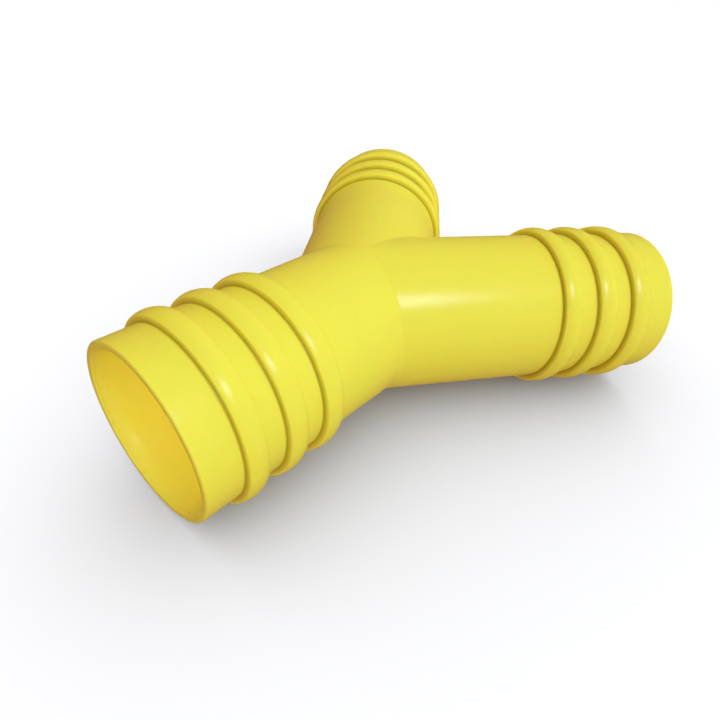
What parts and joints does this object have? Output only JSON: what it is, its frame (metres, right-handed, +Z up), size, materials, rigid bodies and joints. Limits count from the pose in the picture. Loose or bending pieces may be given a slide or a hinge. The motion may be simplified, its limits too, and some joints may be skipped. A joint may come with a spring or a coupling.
{
  "type": "tubing y connector",
  "caption": "Smooth moulded plastic Y fitting that divides a hose's flow between equal branches, with ribbed hose tails and plain open noses.",
  "frame": {"origin": "centre of the base: on the floor it lies on, under the middle of its outline", "axes": "+Z up; the stem points to -Y, and the branches lean from +Y to +X and -X by the same angle; the three tube axes lie in one level plane"},
  "size_m": [0.1202, 0.1336, 0.0418],
  "materials": {
    "moulded_plastic": "gloss"
  },
  "bodies": {
    "root": {"y_connector": "moulded_plastic"}
  },
  "joints": []
}
